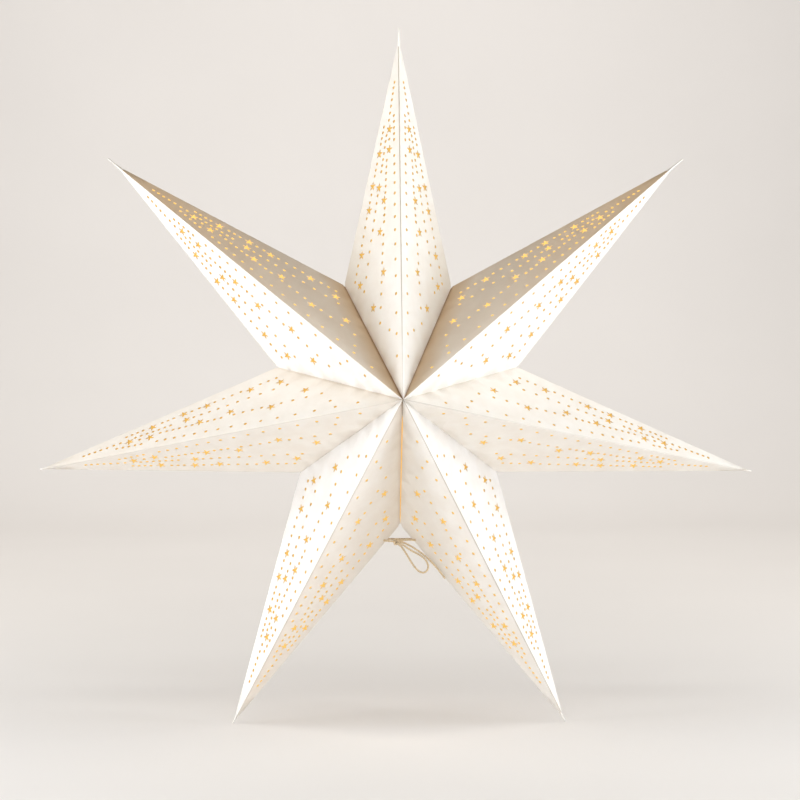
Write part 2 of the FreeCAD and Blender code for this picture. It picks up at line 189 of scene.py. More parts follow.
def inside(places, outline):
    """Which places lie inside an outline: a line from each crosses it an odd number of times."""
    after = np.roll(outline, -1, axis=0)
    x, y = places[:, 0:1], places[:, 1:2]
    spans = (outline[:, 1] > y) != (after[:, 1] > y)
    rise = after[:, 1] - outline[:, 1]
    rise = np.where(np.abs(rise) < 1e-12, 1e-12, rise)
    meets = outline[:, 0] + (y - outline[:, 1]) / rise * (after[:, 0] - outline[:, 0])
    return ((spans & (x < meets)).sum(axis=1) % 2) == 1


def run_of_points(start, end, step):
    """Points from start to end about one step apart, without the last."""
    count = max(1, int(round(np.linalg.norm(end - start) / step)))
    return start + (end - start) * np.arange(count)[:, None] / count


def flat_facet(holes):
    """One facet laid flat, as points, triangles and the points of its glued edge: a triangle
    with a small arc for its inner corner, cut with the holes, and filled with a strip along
    both folds and a loose grid so that it can bow."""
    to_end = unit(-FLAT_CORNER)
    to_hub = unit(FLAT_HUB - FLAT_CORNER)
    arc_angle = np.linspace(math.atan2(to_hub[1], to_hub[0]),
                            math.atan2(to_end[1], to_end[0]), PINHOLE_POINTS)
    arc = FLAT_CORNER + PINHOLE_RADIUS * np.stack([np.cos(arc_angle), np.sin(arc_angle)], axis=1)
    ridge = run_of_points(np.zeros(2), FLAT_HUB, FOLD_STEP)
    glued = run_of_points(FLAT_HUB, arc[0], GLUED_STEP)
    rim = run_of_points(arc[-1], np.zeros(2), FOLD_STEP)
    outline = np.concatenate([ridge, glued, arc[:-1], rim])
    off_rim = np.array([to_end[1], -to_end[0]])
    off_rim *= np.sign(off_rim @ (FLAT_HUB - FLAT_CORNER))
    near_ridge = ridge[2:] + [0.0, FOLD_STRIP]
    near_rim = rim[:-2] + off_rim * FOLD_STRIP

    grid = np.stack(np.meshgrid(np.arange(FILL_START[0], FLAT_SIZE[0], FILL_STEP),
                                np.arange(FILL_START[1], FLAT_SIZE[1], FILL_STEP)),
                    -1).reshape(-1, 2)
    centres = np.array([hole.mean(axis=0) for hole in holes])
    gaps = np.linalg.norm(grid[:, None, :] - centres[None, :, :], axis=2).min(axis=1)
    clear = inside(grid, outline) & (gaps > STAR_REACH + HOLE_CLEARANCE)
    clear &= ((grid - FLAT_CORNER) @ off_rim > FILL_CLEARANCE) & (grid[:, 1] > FILL_CLEARANCE)
    loops = [outline] + holes
    points = np.concatenate(loops + [near_ridge, near_rim, grid[clear]])
    edges = []
    start = 0
    for line, closed in [(loop, 1) for loop in loops] + [(near_ridge, 0), (near_rim, 0)]:
        ids = np.arange(start, start + len(line))
        edges += np.stack([ids, np.roll(ids, -1)], axis=1)[:len(line) - 1 + closed].tolist()
        start += len(line)
    found = delaunay_2d_cdt([Vector(p) for p in (points / MM).tolist()], edges, [], 0, 1e-5)
    places = np.array([tuple(p) for p in found[0]]) * MM
    triangles = np.array([tuple(f) for f in found[2]])
    middles = places[triangles].mean(axis=1)
    kept = inside(middles, outline)
    for hole in holes:
        near = np.abs(middles - hole.mean(axis=0)).max(axis=1) < STAR_REACH
        kept[near] &= ~inside(middles[near], hole)
    triangles = triangles[kept]
    across, up = (places[triangles[:, 1:]] - places[triangles[:, :1]]).transpose(1, 0, 2)
    turned = across[:, 0] * up[:, 1] - across[:, 1] * up[:, 0]
    triangles[turned < 0] = triangles[turned < 0][:, ::-1]
    glued_places = np.concatenate([glued, arc[:1]])
    gaps = np.linalg.norm(places[None, :, :] - glued_places[:, None, :], axis=2)
    return places, triangles, gaps.argmin(axis=1)


def corner_shares(flat):
    """Flat places as shares of a facet's three corners: fold's end, centre and inner corner."""
    along, aside = (flat / FLAT_SIZE).T
    centre = along - CORNER_ALONG * aside
    return np.stack([1 - centre - aside, centre, aside], axis=1)


def off_seam(point, side):
    """The direction from a point's side plane into the point."""
    index = point if side > 0 else (point - 1) % POINTS
    aside = np.cross(unit(CORNERS[index]), [0.0, 1.0, 0.0])
    return aside * np.sign(aside @ AXES[point])


def facet_corners(point, side, face):
    """The three corners of a facet. side is +1 on the anticlockwise half of the point and -1
    on the other, face is -1 at the front and +1 at the back."""
    index = point if side > 0 else (point - 1) % POINTS
    gap = SEAM_HALF_GAP if index == SEAM_CORNER else GLUE_HALF_GAP
    hub_end = np.array([0.0, face * HALF_DEPTH, 0.0]) + AXES[point] * GLUE_HALF_GAP * HUB_SPREAD
    if face < 0:
        hub_end = hub_end + across_and_up(HUB_SHIFT[point])
    return np.array([FOLD_ENDS[point], hub_end, CORNERS[index] + off_seam(point, side) * gap])


def bowed(shares, corners, side, face, bow):
    """Places on a facet: the flat plane through its corners, swelled out by a bow that is nil
    on the folds (27 times the product of the shares, one at most), with a slow ripple."""
    normal = unit(np.cross(corners[1] - corners[0], corners[2] - corners[0])) * side * face
    dome = 27 * np.clip(shares, 0, 1).prod(axis=1)
    ripple = np.sin(shares @ np.array([23.0, 9.0, -14.0]) + 2.1 * bow / MM)
    swell = (bow + RIPPLE * ripple) * np.minimum(dome, 1.0)
    return shares @ corners + normal * swell[:, None]


def parted(shares, point, side):
    """How far a facet's places draw back from the tied seam: nil up to a tenth of the way out
    from the centre, most at a fifth, nil again at the inner corner, and nothing a sixth of the
    way to the fold's end."""
    out = np.clip(shares[:, 2], 0, 1)
    draw = SEAM_DRAW * np.clip(out / 0.1 - 1, 0, 1) * (1 - out)
    draw = draw * np.clip(1 - 6 * shares[:, 0], 0, 1)
    return draw[:, None] * off_seam(point, side)


def add_mesh(name, places, *faces, body="root"):
    """A mesh object from an array of places and arrays of faces, riding on a body."""
    mesh = bpy.data.meshes.new(name)
    mesh.from_pydata(places.tolist(), [], sum((block.tolist() for block in faces), []))
    mesh.validate()
    thing = bpy.data.objects.new(name, mesh)
    bpy.context.scene.collection.objects.link(thing)
    if body:
        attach(thing, body)
    return thing


def add_map(mesh, name, uv):
    """A UV map from one place on the map for each vertex."""
    corners = np.zeros(len(mesh.loops), np.int32)
    mesh.loops.foreach_get("vertex_index", corners)
    mesh.uv_layers.new(name=name).data.foreach_set("uv", uv[corners].astype(np.float32).ravel())


def add_amount(mesh, name, amounts):
    """An attribute with one amount for each face."""
    mesh.attributes.new(name, "FLOAT", "FACE").data.foreach_set(
        "value", np.asarray(amounts, np.float32))


# The twine goes through a hole on each side of the tied seam, level with the knot.
TIE_HOLES = {3: np.array([-11.4, 0.0, -119.6]) * MM, 4: np.array([13.6, 0.0, -119.6]) * MM}
TIE_HOLE_RADIUS = 1.15 * MM


def tie_hole_place(point, side):
    """Flat place of the tie's hole on the seam facet of a lower point, found by solving for
    the shares of fold's end and inner corner that give its place across and up."""
    corners = facet_corners(point, side, -1)
    basis = np.stack([corners[0][[0, 2]], corners[2][[0, 2]]], axis=1)
    end_share, corner_share = np.linalg.solve(basis, TIE_HOLES[point][[0, 2]])
    along = (1 - end_share - corner_share) + CORNER_ALONG * corner_share
    return np.array([along, corner_share]) * FLAT_SIZE


STAR_RADII = [STAR_REACH, STAR_SHOULDER, STAR_WAIST, STAR_SHOULDER] * 5
PLAIN_HOLES = punched(DOTS, [DOT_RADIUS] * 12) + punched(STARS, STAR_RADII, STAR_TURN)
PLAIN_FACET = flat_facet(PLAIN_HOLES)
BOWS = np.random.default_rng(7).uniform(-0.5, 0.9, (POINTS, 2, 2)) * MM

# The pinched ends start between the folds and reach the tips. Half their width and half their
# depth are given in millimetres: at the tip, and what is added at the root.
BLADE_RINGS = 6
BLADE_START = 10 * MM            # how far it reaches in between the folds
BLADE_LENGTH = 20 * MM           # less what the fold's end is drawn out
BLADE_WIDTH = (0.3, 1.3)
BLADE_DEPTH = (0.35, 2.2)
BLADE_TAPER = 2.2


def blade(point):
    """The pinched end of a point: its layers pressed together and drawn out to a thin tip.
    Four-sided rings along the axis, at share s half as wide and deep as tip + root (1 - s)^2.2."""
    share = np.linspace(0, 1, BLADE_RINGS)[:, None, None]
    axis = unit(FOLD_ENDS[point])
    taper = (1 - share) ** BLADE_TAPER
    width = (BLADE_WIDTH[0] + BLADE_WIDTH[1] * taper) * MM
    depth = (BLADE_DEPTH[0] + BLADE_DEPTH[1] * taper) * MM
    along = (np.linalg.norm(FOLD_ENDS[point]) - BLADE_START
             + (BLADE_LENGTH - FOLD_DRAWN[point]) * share)
    square = np.array([[-1, 0], [0, -1], [1, 0], [0, 1]], float)[None, :, :]
    rings = (axis * along + np.cross(axis, [0.0, 1.0, 0.0]) * (square[..., 0:1] * width)
             + np.array([0.0, 1.0, 0.0]) * (square[..., 1:2] * depth))
    ids = np.arange(4 * BLADE_RINGS).reshape(BLADE_RINGS, 4)
    after = np.roll(ids, -1, axis=1)
    sides = np.stack([ids[:-1], after[:-1], after[1:], ids[1:]], axis=-1).reshape(-1, 4)
    return rings.reshape(-1, 3), np.concatenate([sides, ids[:1, ::-1], ids[-1:]])


def folded_point(point):
    """One folded point: its four facets, a glue tab along each, mitred where the front and
    back tabs meet, and the pinched end. Places that fall together are merged."""
    parts, triangles, flats, behind = [], [], [], []
    start = 0
    for side, face in ((1, -1), (1, 1), (-1, -1), (-1, 1)):
        flat, faces, glued = PLAIN_FACET
        index = point if side > 0 else (point - 1) % POINTS
        seam = index == SEAM_CORNER
        if seam:
            hole = punched([tie_hole_place(point, side)], [TIE_HOLE_RADIUS] * 12)
            flat, faces, glued = flat_facet(PLAIN_HOLES + hole)
        shares = corner_shares(flat)
        corners = facet_corners(point, side, face)
        bow = BOWS[point, (side + 1) // 2, (face + 1) // 2]
        places = bowed(shares, corners, side, face, bow)
        if seam:
            places += parted(shares, point, side)
        glued_length = np.linalg.norm(corners[2] - corners[1])
        inner_hub = corners[1] - [0.0, face * TAB_WIDTH * glued_length / CORNER_REACH, 0.0]
        pressed = CORNERS[index] + off_seam(point, side) * GLUE_HALF_GAP
        inner_corner = pressed - unit(pressed) * TAB_WIDTH * glued_length / HALF_DEPTH
        share = np.linspace(0, 1, len(glued))[:, None]
        tab_ids = len(places) + np.arange(len(glued))
        low = np.stack([glued[:-1], glued[1:], tab_ids[1:]], axis=1)
        high = np.stack([glued[:-1], tab_ids[1:], tab_ids[:-1]], axis=1)
        piece = np.concatenate([faces, high[:, ::-1], low[:, ::-1]])
        parts.append(np.concatenate([places, inner_hub + (inner_corner - inner_hub) * share]))
        triangles.append((piece[:, ::-1] if side * face > 0 else piece) + start)
        behind.append(np.arange(len(parts[-1])) >= len(places))
        flats.append(np.concatenate([flat, flat[glued] + [0.0, TAB_ON_SHEET]]) * [1.0, side])
        start += len(parts[-1])
    places, flats, faces = (np.concatenate(made) for made in (parts, flats, triangles))
    first, merged = np.unique(np.round(places / MM, 3), axis=0, return_index=True,
                              return_inverse=True)[1:]
    places, flats, faces = places[first], flats[first], merged.reshape(-1)[faces]
    tip_places, tip_faces = blade(point)
    name = "folded_point_%d" % (point + 1)
    thing = add_mesh(name, np.concatenate([places, tip_places]) + HUB, faces,
                     tip_faces + len(places))
    mesh = thing.data
    sheet = np.concatenate([flats, np.full((len(tip_places), 2), TIP_ON_SHEET)])
    add_map(mesh, "sheet", sheet)

    # the faces of the tabs are those with a place behind the facets
    behind = np.concatenate([np.concatenate(behind)[first], np.zeros(len(tip_places), bool)])
    starts = np.zeros(len(mesh.polygons), np.int32)
    mesh.polygons.foreach_get("loop_start", starts)
    used = np.zeros(len(mesh.loops), np.int32)
    mesh.loops.foreach_get("vertex_index", used)
    on_tab = np.maximum.reduceat(behind[used].astype(np.int32), starts)
    middles = np.zeros((len(mesh.polygons), 3), np.float32)
    mesh.polygons.foreach_get("center", middles.ravel())
    middles = middles - HUB
    way_out = np.hypot(middles[:, 0], middles[:, 2])
    on_tab[way_out < FACING_START] = 0
    mesh.polygons.foreach_set("material_index", on_tab)
    # the golden facing on the tabs takes a painted glow that stands in for light from inside
    add_amount(mesh, "painted_glow", TAB_PAINTED_GLOW * on_tab)
    # painted shade along one side of each ridge
    add_amount(mesh, "ridge_shade", np.interp(way_out / FOLD_REACH, RIDGE_SHADE_SPAN, RIDGE_SHADE[point]))

    # the sheet map is above nil on the anticlockwise half, which picks each half's painted shade,
    # and the pinched end takes none
    halves = (np.add.reduceat(sheet[used, 1], starts) > 0).astype(int)
    painted_shade = np.array(PAINTED_SHADE_BY_HALF[point])[halves]
    painted_shade[used[starts] >= len(places)] = 0.0
    add_amount(mesh, "painted_shade", painted_shade)

    # smooth over the folds, sharp at every cut edge and along the tabs
    mesh.shade_smooth()
    mesh.set_sharp_from_angle(angle=SHARP_ANGLE)
    uses = np.zeros(len(mesh.loops), np.int32)
    mesh.loops.foreach_get("edge_index", uses)
    sharp = np.zeros(len(mesh.edges), bool)
    mesh.attributes["sharp_edge"].data.foreach_get("value", sharp)
    sharp |= np.bincount(uses, minlength=len(mesh.edges)) != 2
    mesh.attributes["sharp_edge"].data.foreach_set("value", sharp)
    wall = thing.modifiers.new("card", "SOLIDIFY")
    wall.thickness = CARD_THICKNESS
    wall.offset = -1.0
    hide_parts("point_%d" % (point + 1))
    return thing


def linear(colour):
    """A colour in sRGB hex as linear RGBA."""
    parts = np.array([int(colour[i:i + 2], 16) for i in (1, 3, 5)]) / 255
    parts = np.where(parts <= 0.04045, parts / 12.92, ((parts + 0.055) / 1.055) ** 2.4)
    return (*parts.tolist(), 1.0)


def node(tree, kind, settings=(), links=()):
    """Adds a node, sets its properties or sockets, and links other nodes' outputs into it."""
    made = tree.nodes.new("ShaderNode" + kind)
    for key, value in dict(settings).items():
        if isinstance(key, str) and key not in made.inputs:
            setattr(made, key, value)
        else:
            made.inputs[key].default_value = value
    for key, output in dict(links).items():
        tree.links.new(output, made.inputs[key])
    return made


def new_material(name):
    """An empty node material and its tree."""
    material = bpy.data.materials.new(name)
    material.use_nodes = True
    material.node_tree.nodes.clear()
    return material, material.node_tree


# White uncoated card of about 280 g, matt and very slightly cream. It clouds faintly over
# 14 mm, shows the soft ribs of the paper machine 6.9 mm apart in raking light, and passes part
# of the light from within, which warms it. A painted shade lies grey-beige along one side of
# some ridges. The two halves in the top point's shadow take a painted brown shade, and a few
# others slightly, most for 34 mm beside the glued fold and again towards the tip, with a
# darker painted shade line 2.8 mm wide at the fold.
RIDGE_SHADE_MIDDLE = 0.45 * MM        # how far beside the ridge the painted shade lies
RIDGE_SHADE_INNER, RIDGE_SHADE_OUTER = 0.3 * MM, 0.6 * MM
CREASE_SHADE_WIDTH = 34 * MM
FOLD_LINE_SHADE_WIDTH = 2.8 * MM
SHADE_RAMP_START = 42 * MM          # from the glued fold towards the tip
SHADE_RAMP_END = 140 * MM
WAVE_RADIAN = 1 / 20             # a wave texture of scale one turns by a radian over this
RIB_RADIAN = 1.1 * MM            # and the ribs over this, so they repeat every 6.9 mm
card, tree = new_material("uncoated_white_card")
place = node(tree, "TexCoord")
cloud = node(tree, "TexNoise", {"Scale": 1 / (14 * MM), "Detail": 3.0, "Roughness": 0.55},
             {"Vector": place.outputs["Object"]})
share = node(tree, "MapRange", {"From Min": 0.35, "From Max": 0.65}, {"Value": cloud.outputs[0]})
tint = node(tree, "Mix", {"data_type": "RGBA", 6: linear("#EFE8DE"), 7: linear("#F3EEE6")},
            {0: share.outputs[0]})
sheet = node(tree, "UVMap", {"uv_map": "sheet"})
aside = node(tree, "SeparateXYZ", (), {0: sheet.outputs["UV"]})
# painted shade in a thin line along one side of the ridge
off_line = node(tree, "Math", {"operation": "SUBTRACT", 1: RIDGE_SHADE_MIDDLE},
                {0: aside.outputs["Y"]})
gap = node(tree, "Math", {"operation": "ABSOLUTE"}, {0: off_line.outputs[0]})
ridge_shade = node(tree, "MapRange", {"From Min": RIDGE_SHADE_INNER, "From Max": RIDGE_SHADE_OUTER,
                                 "To Min": 1.0, "To Max": 0.0}, {"Value": gap.outputs[0]})
amount = node(tree, "Attribute", {"attribute_name": "ridge_shade"})
ridge_shading = node(tree, "Math", {"operation": "MULTIPLY"}, {0: ridge_shade.outputs[0],
                                                         1: amount.outputs["Fac"]})
ridged = node(tree, "Mix", {"data_type": "RGBA", 7: linear("#B5A797")},
              {0: ridge_shading.outputs[0], 6: tint.outputs[2]})
# painted brown shade beside the glued fold and towards the tip, by each half's amount
mirrored = node(tree, "VectorMath", {"operation": "ABSOLUTE"}, {0: sheet.outputs["UV"]})
glued_line = unit(FLAT_CORNER - FLAT_HUB)
reach = node(tree, "VectorMath", {"operation": "DOT_PRODUCT",
                                  1: (glued_line[1], -glued_line[0], 0.0)},
             {0: mirrored.outputs[0]})
glued_at = FLAT_HUB[0] * glued_line[1]
crease_shade = node(tree, "MapRange", {"interpolation_type": "SMOOTHSTEP",
                                 "From Min": glued_at - CREASE_SHADE_WIDTH, "From Max": glued_at},
              {"Value": reach.outputs["Value"]})
outer_shade = node(tree, "MapRange", {"From Min": glued_at - SHADE_RAMP_END, "To Min": 0.95,
                                  "From Max": glued_at - SHADE_RAMP_START, "To Max": 0.35},
               {"Value": reach.outputs["Value"]})
shade_extent = node(tree, "Math", {"operation": "MAXIMUM"}, {0: crease_shade.outputs[0],
                                                        1: outer_shade.outputs[0]})
amount = node(tree, "Attribute", {"attribute_name": "painted_shade"})
shade_share = node(tree, "Math", {"operation": "MULTIPLY"}, {0: shade_extent.outputs[0],
                                                        1: amount.outputs["Fac"]})
# a darker painted shade line 2.8 mm wide at the glued fold, as strong as the half's painted shade
fold_line_shade = node(tree, "MapRange", {"From Min": glued_at - FOLD_LINE_SHADE_WIDTH, "From Max": glued_at},
              {"Value": reach.outputs["Value"]})
fold_line_shading = node(tree, "Math", {"operation": "MULTIPLY"}, {0: fold_line_shade.outputs[0],
                                                         1: amount.outputs["Fac"]})
brown = node(tree, "Mix", {"data_type": "RGBA", "blend_type": "MULTIPLY",
                           7: linear("#E4CEB3")},
             {0: shade_share.outputs[0], 6: ridged.outputs[2]})
colour = node(tree, "Mix", {"data_type": "RGBA", "blend_type": "MULTIPLY",
                            7: linear("#B99A79")},
              {0: fold_line_shading.outputs[0], 6: brown.outputs[2]})
ribs = node(tree, "TexWave", {"Scale": WAVE_RADIAN / RIB_RADIAN, "Distortion": 1.5,
                              "Detail": 1.0, "bands_direction": "X"},
            {"Vector": sheet.outputs["UV"]})
grain = node(tree, "TexNoise", {"Scale": 1 / (0.9 * MM), "Detail": 2.0},
             {"Vector": place.outputs["Object"]})
relief = node(tree, "Math", {"operation": "MULTIPLY_ADD", 1: 0.35},
              {0: ribs.outputs["Fac"], 2: grain.outputs[0]})
bump = node(tree, "Bump", {"Strength": 0.25, "Distance": 0.03 * MM}, {"Height": relief.outputs[0]})
skin = node(tree, "BsdfPrincipled", {"Roughness": 0.72, "Specular IOR Level": 0.25},
            {"Base Color": colour.outputs[2], "Normal": bump.outputs[0]})
through = node(tree, "BsdfTranslucent", {"Color": linear("#FFF9F2")})
both = node(tree, "MixShader", {0: 0.15}, {1: skin.outputs[0], 2: through.outputs[0]})
node(tree, "OutputMaterial", (), {"Surface": both.outputs[0]})

card_points = [folded_point(point) for point in range(POINTS)]
for thing in card_points:
    thing.data.materials.append(card)


# ---------------------------------------------------------------- golden linings
# A thin sheet of golden paper is glued inside each point behind the punching, short of the
# tip. The tabs are faced with the same paper from 13 mm off the centre outwards, and it shows
# in the tied seam.
LINING_DEPTH = 0.45 * MM
LINING_THICKNESS = 0.15 * MM
LINING_SIDE = 1.8 * MM           # how far it stays off the planes between the points
LINING_ROWS = 26
LINING_FIRST_ROW = 2             # the rows before it, at the tip, are left off

# A painted glow stands in for the light that comes through from the far walls: strongest on the
# two halves that look up at the top point and lie in shade, less on the four that look down and
# least on the rest.
PAINTED_GLOW_BY_HALF = {(1, -1): 0.86, (6, 1): 0.86, (2, 1): 0.5, (3, 1): 0.5, (4, -1): 0.5,
                 (5, -1): 0.5}
PAINTED_GLOW_ELSEWHERE = 0.3


def lining_sheet(point):
    """A lining: each facet's plane is moved inwards, and its three new corners are where it
    meets its neighbours' planes and the side planes. A triangular grid of shares fills them,
    with the rows next to the tip left off."""
    planes = {}
    for side, face in ((1, -1), (1, 1), (-1, -1), (-1, 1)):
        corners = facet_corners(point, side, face)
        normal = unit(np.cross(corners[1] - corners[0], corners[2] - corners[0])) * side * face
        planes[side, face] = (normal, normal @ corners[0] - LINING_DEPTH)
    far, across = np.meshgrid(np.arange(LINING_ROWS + 1), np.arange(LINING_ROWS + 1),
                              indexing="ij")
    kept = (across <= far) & (far >= LINING_FIRST_ROW)
    ids = np.full(far.shape, -1)
    ids[kept] = np.arange(kept.sum())
    low = np.stack([ids[:-1, :-1], ids[1:, :-1], ids[1:, 1:]], axis=-1).reshape(-1, 3)
    high = np.stack([ids[:-1, :-1], ids[1:, 1:], ids[:-1, 1:]], axis=-1).reshape(-1, 3)
    faces = np.concatenate([low, high])
    faces = faces[(faces >= 0).all(axis=1)]
    far, across = far[kept] / LINING_ROWS, across[kept] / LINING_ROWS
    shares = np.stack([1 - far, far - across, across], axis=1)

    parts, triangles, light = [], [], []
    for side, face in planes:
        own, ridge, rim = planes[side, face], planes[-side, face], planes[side, -face]
        flank = (-off_seam(point, side), -LINING_SIDE)
        sets = ((own, ridge, rim), (own, ridge, flank), (own, rim, flank))
        corners = np.stack([np.linalg.solve(np.array([plane[0] for plane in three]),
                                            np.array([plane[1] for plane in three]))
                            for three in sets])
        bow = BOWS[point, (side + 1) // 2, (face + 1) // 2]
        triangles.append((faces[:, ::-1] if side * face > 0 else faces)
                         + len(parts) * len(shares))
        parts.append(bowed(shares, corners, side, face, bow))
        # each half's painted glow
        light.append(np.full(len(faces), PAINTED_GLOW_BY_HALF.get((point, side), PAINTED_GLOW_ELSEWHERE)))
    places = np.concatenate(parts)
    first, merged = np.unique(np.round(places / MM, 3), axis=0, return_index=True,
                              return_inverse=True)[1:]
    thing = add_mesh("golden_lining_%d" % (point + 1), places[first] + HUB,
                     merged.reshape(-1)[np.concatenate(triangles)])
    add_amount(thing.data, "painted_glow", np.concatenate(light))
    wall = thing.modifiers.new("lining", "SOLIDIFY")
    wall.thickness = LINING_THICKNESS
    wall.offset = -1.0
    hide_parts("lining_%d" % (point + 1))
    return thing


# Thin dyed paper, golden yellow and matt, a little uneven over 9 mm. The light that comes
# through it turns amber. A painted glow, set face by face, makes the punched dots and stars
# shine against the white card, brightest where the card is in shade.
gold, tree = new_material("golden_lining_paper")
place = node(tree, "TexCoord")
cloud = node(tree, "TexNoise", {"Scale": 1 / (9 * MM), "Detail": 4.0},
             {"Vector": place.outputs["Object"]})
share = node(tree, "MapRange", {"From Min": 0.3, "From Max": 0.7}, {"Value": cloud.outputs[0]})
tint = node(tree, "Mix", {"data_type": "RGBA", 6: linear("#C29733"), 7: linear("#CDA544")},
            {0: share.outputs[0]})
# painted glow: emission as strong as each face's amount
light = node(tree, "Attribute", {"attribute_name": "painted_glow"})
skin = node(tree, "BsdfPrincipled", {"Roughness": 0.8, "Specular IOR Level": 0.1,
                                     "Emission Color": linear("#F7ED9B")},
            {"Base Color": tint.outputs[2], "Emission Strength": light.outputs["Fac"]})
through = node(tree, "BsdfTranslucent", {"Color": linear("#FFC960")})
both = node(tree, "MixShader", {0: 0.3}, {1: skin.outputs[0], 2: through.outputs[0]})
node(tree, "OutputMaterial", (), {"Surface": both.outputs[0]})

for point, thing in enumerate(card_points):
    lining_sheet(point).data.materials.append(gold)
    thing.data.materials.append(gold)


# ---------------------------------------------------------------- twine tie
# Two-ply cotton twine in a natural beige goes through a hole in each lower point, behind the
# seam, and is knotted in front, with one long drooping loop and one loose end.
TWINE_DIAMETER = 1.7 * MM
TWINE_PITCH = 4.2 * MM
STRAND_STEP = 0.22 * MM
STRAND_OFFSET = 0.235            # shares of the twine's diameter: a strand off the middle
STRAND_RADIUS = 0.285
DRAWN_END = 0.8 * MM
OPENED_END = 5 * MM
TIE_FRONT = -5.4 * MM            # how far in front of the seam the band crosses
TIE_BACK = 6.5 * MM
KNOT = HUB + np.array([-1.3, -6.9, -120.4]) * MM
KNOT_HALF_SIZE = np.array([3.0, 2.3, 2.5]) * MM
BOW_ROUTE = KNOT + np.array([
    (-0.6, -0.4, -0.9), (2.8, -0.9, -2.8), (6.7, -1.6, -8.2), (11.4, -2.2, -16.4),
    (15.8, -2.8, -22.6), (20.4, -3.2, -25.6), (24.6, -3.3, -24.0), (25.8, -3.2, -19.4),
    (23.4, -3.1, -14.4), (18.3, -3.0, -10.4), (11.6, -2.8, -7.2), (6.3, -2.4, -3.3),
    (1.7, -2.0, -0.6)]) * MM
TAIL_ROUTE = KNOT + np.array([
    (1.4, 0.1, 0.4), (4.4, 0.1, -0.4), (9.3, 0.3, -2.4), (15.3, 0.7, -6.2),
    (21.3, 1.2, -10.4), (27.0, 1.8, -15.5), (32.6, 2.4, -21.7), (36.8, 2.8, -27.0),
    (39.6, 3.0, -30.9)]) * MM


def threaded(hole, *steps):
    """Places by a hole, each a step aside and up from it in millimetres, at a depth in metres."""
    return [(hole[0] + aside * MM, depth, hole[2] + up * MM) for aside, depth, up in steps]


LEFT_HOLE, RIGHT_HOLE = HUB + TIE_HOLES[3], HUB + TIE_HOLES[4]
BAND_ROUTE = np.array(
    [KNOT + np.array([1.6, 0.4, 0.6]) * MM]
    + threaded(RIGHT_HOLE, (-6, TIE_FRONT, 0.7), (-2.2, TIE_FRONT, 0.4), (0, TIE_FRONT, 0),
               (0, TIE_FRONT + 2.4 * MM, 0), (0, TIE_BACK - 2.4 * MM, 0), (0, TIE_BACK, 0),
               (-2.4, TIE_BACK, 0))
    + threaded(LEFT_HOLE, (2.4, TIE_BACK, 0), (0, TIE_BACK, 0), (0, TIE_BACK - 2.4 * MM, 0),
               (0, TIE_FRONT + 2.4 * MM, 0), (0, TIE_FRONT, 0), (2.2, TIE_FRONT, -0.2))
    + [KNOT + np.array([-2.6, 0.3, 0.2]) * MM, KNOT + np.array([-1.2, 0.3, 0.0]) * MM])


def smooth_line(name, route):
    """The points of the NURBS spline whose control points are the route."""
    curve = bpy.data.curves.new(name, "CURVE")
    curve.dimensions = "3D"
    curve.resolution_u = 16
    spline = curve.splines.new("NURBS")
    spline.points.add(len(route) - 1)
    spline.points.foreach_set("co", np.c_[route, np.ones(len(route))].ravel())
    spline.order_u = 3
    spline.use_endpoint_u = True
    holder = bpy.data.objects.new(name, curve)
    mesh = bpy.data.meshes.new_from_object(holder)
    line = np.zeros(len(mesh.vertices) * 3)
    mesh.vertices.foreach_get("co", line)
    bpy.data.meshes.remove(mesh)
    bpy.data.objects.remove(holder)
    bpy.data.curves.remove(curve)
    return line.reshape(-1, 3)


def side_frames(line, square_to):
    """Two directions square to a line at each of its points, the first also square to a fixed
    direction that the line never follows."""
    heading = unit(np.gradient(line, axis=0))
    aside = unit(np.cross(heading, square_to))
    return aside, np.cross(heading, aside)


def tube(line, radius, square_to, sides=10):
    """A tube round a line, its radius given at each point, with a fan of triangles over each
    end. Places, quads, triangles and each place's distance along and turn round."""
    aside, up = side_frames(line, square_to)
    turn = 2 * np.pi * np.arange(sides) / sides
    rings = line[:, None, :] + radius[:, None, None] * (
        aside[:, None, :] * np.cos(turn)[None, :, None]
        + up[:, None, :] * np.sin(turn)[None, :, None])
    ids = np.arange(len(line) * sides).reshape(len(line), sides)
    after = np.roll(ids, -1, axis=1)
    quads = np.stack([ids[:-1], after[:-1], after[1:], ids[1:]], axis=-1).reshape(-1, 4)
    first, last = ids.size, ids.size + 1
    fans = np.concatenate([np.stack([after[0], ids[0], np.full(sides, first)], axis=-1),
                           np.stack([ids[-1], after[-1], np.full(sides, last)], axis=-1)])
    along = np.concatenate([[0], np.cumsum(np.linalg.norm(np.diff(line, axis=0), axis=1))])
    uv = np.stack(np.broadcast_arrays(along[:, None], turn[None, :]), axis=-1).reshape(-1, 2)
    return (np.concatenate([rings.reshape(-1, 3), line[:1], line[-1:]]), quads, fans,
            np.concatenate([uv, [[0, 0], [along[-1], 0]]]))


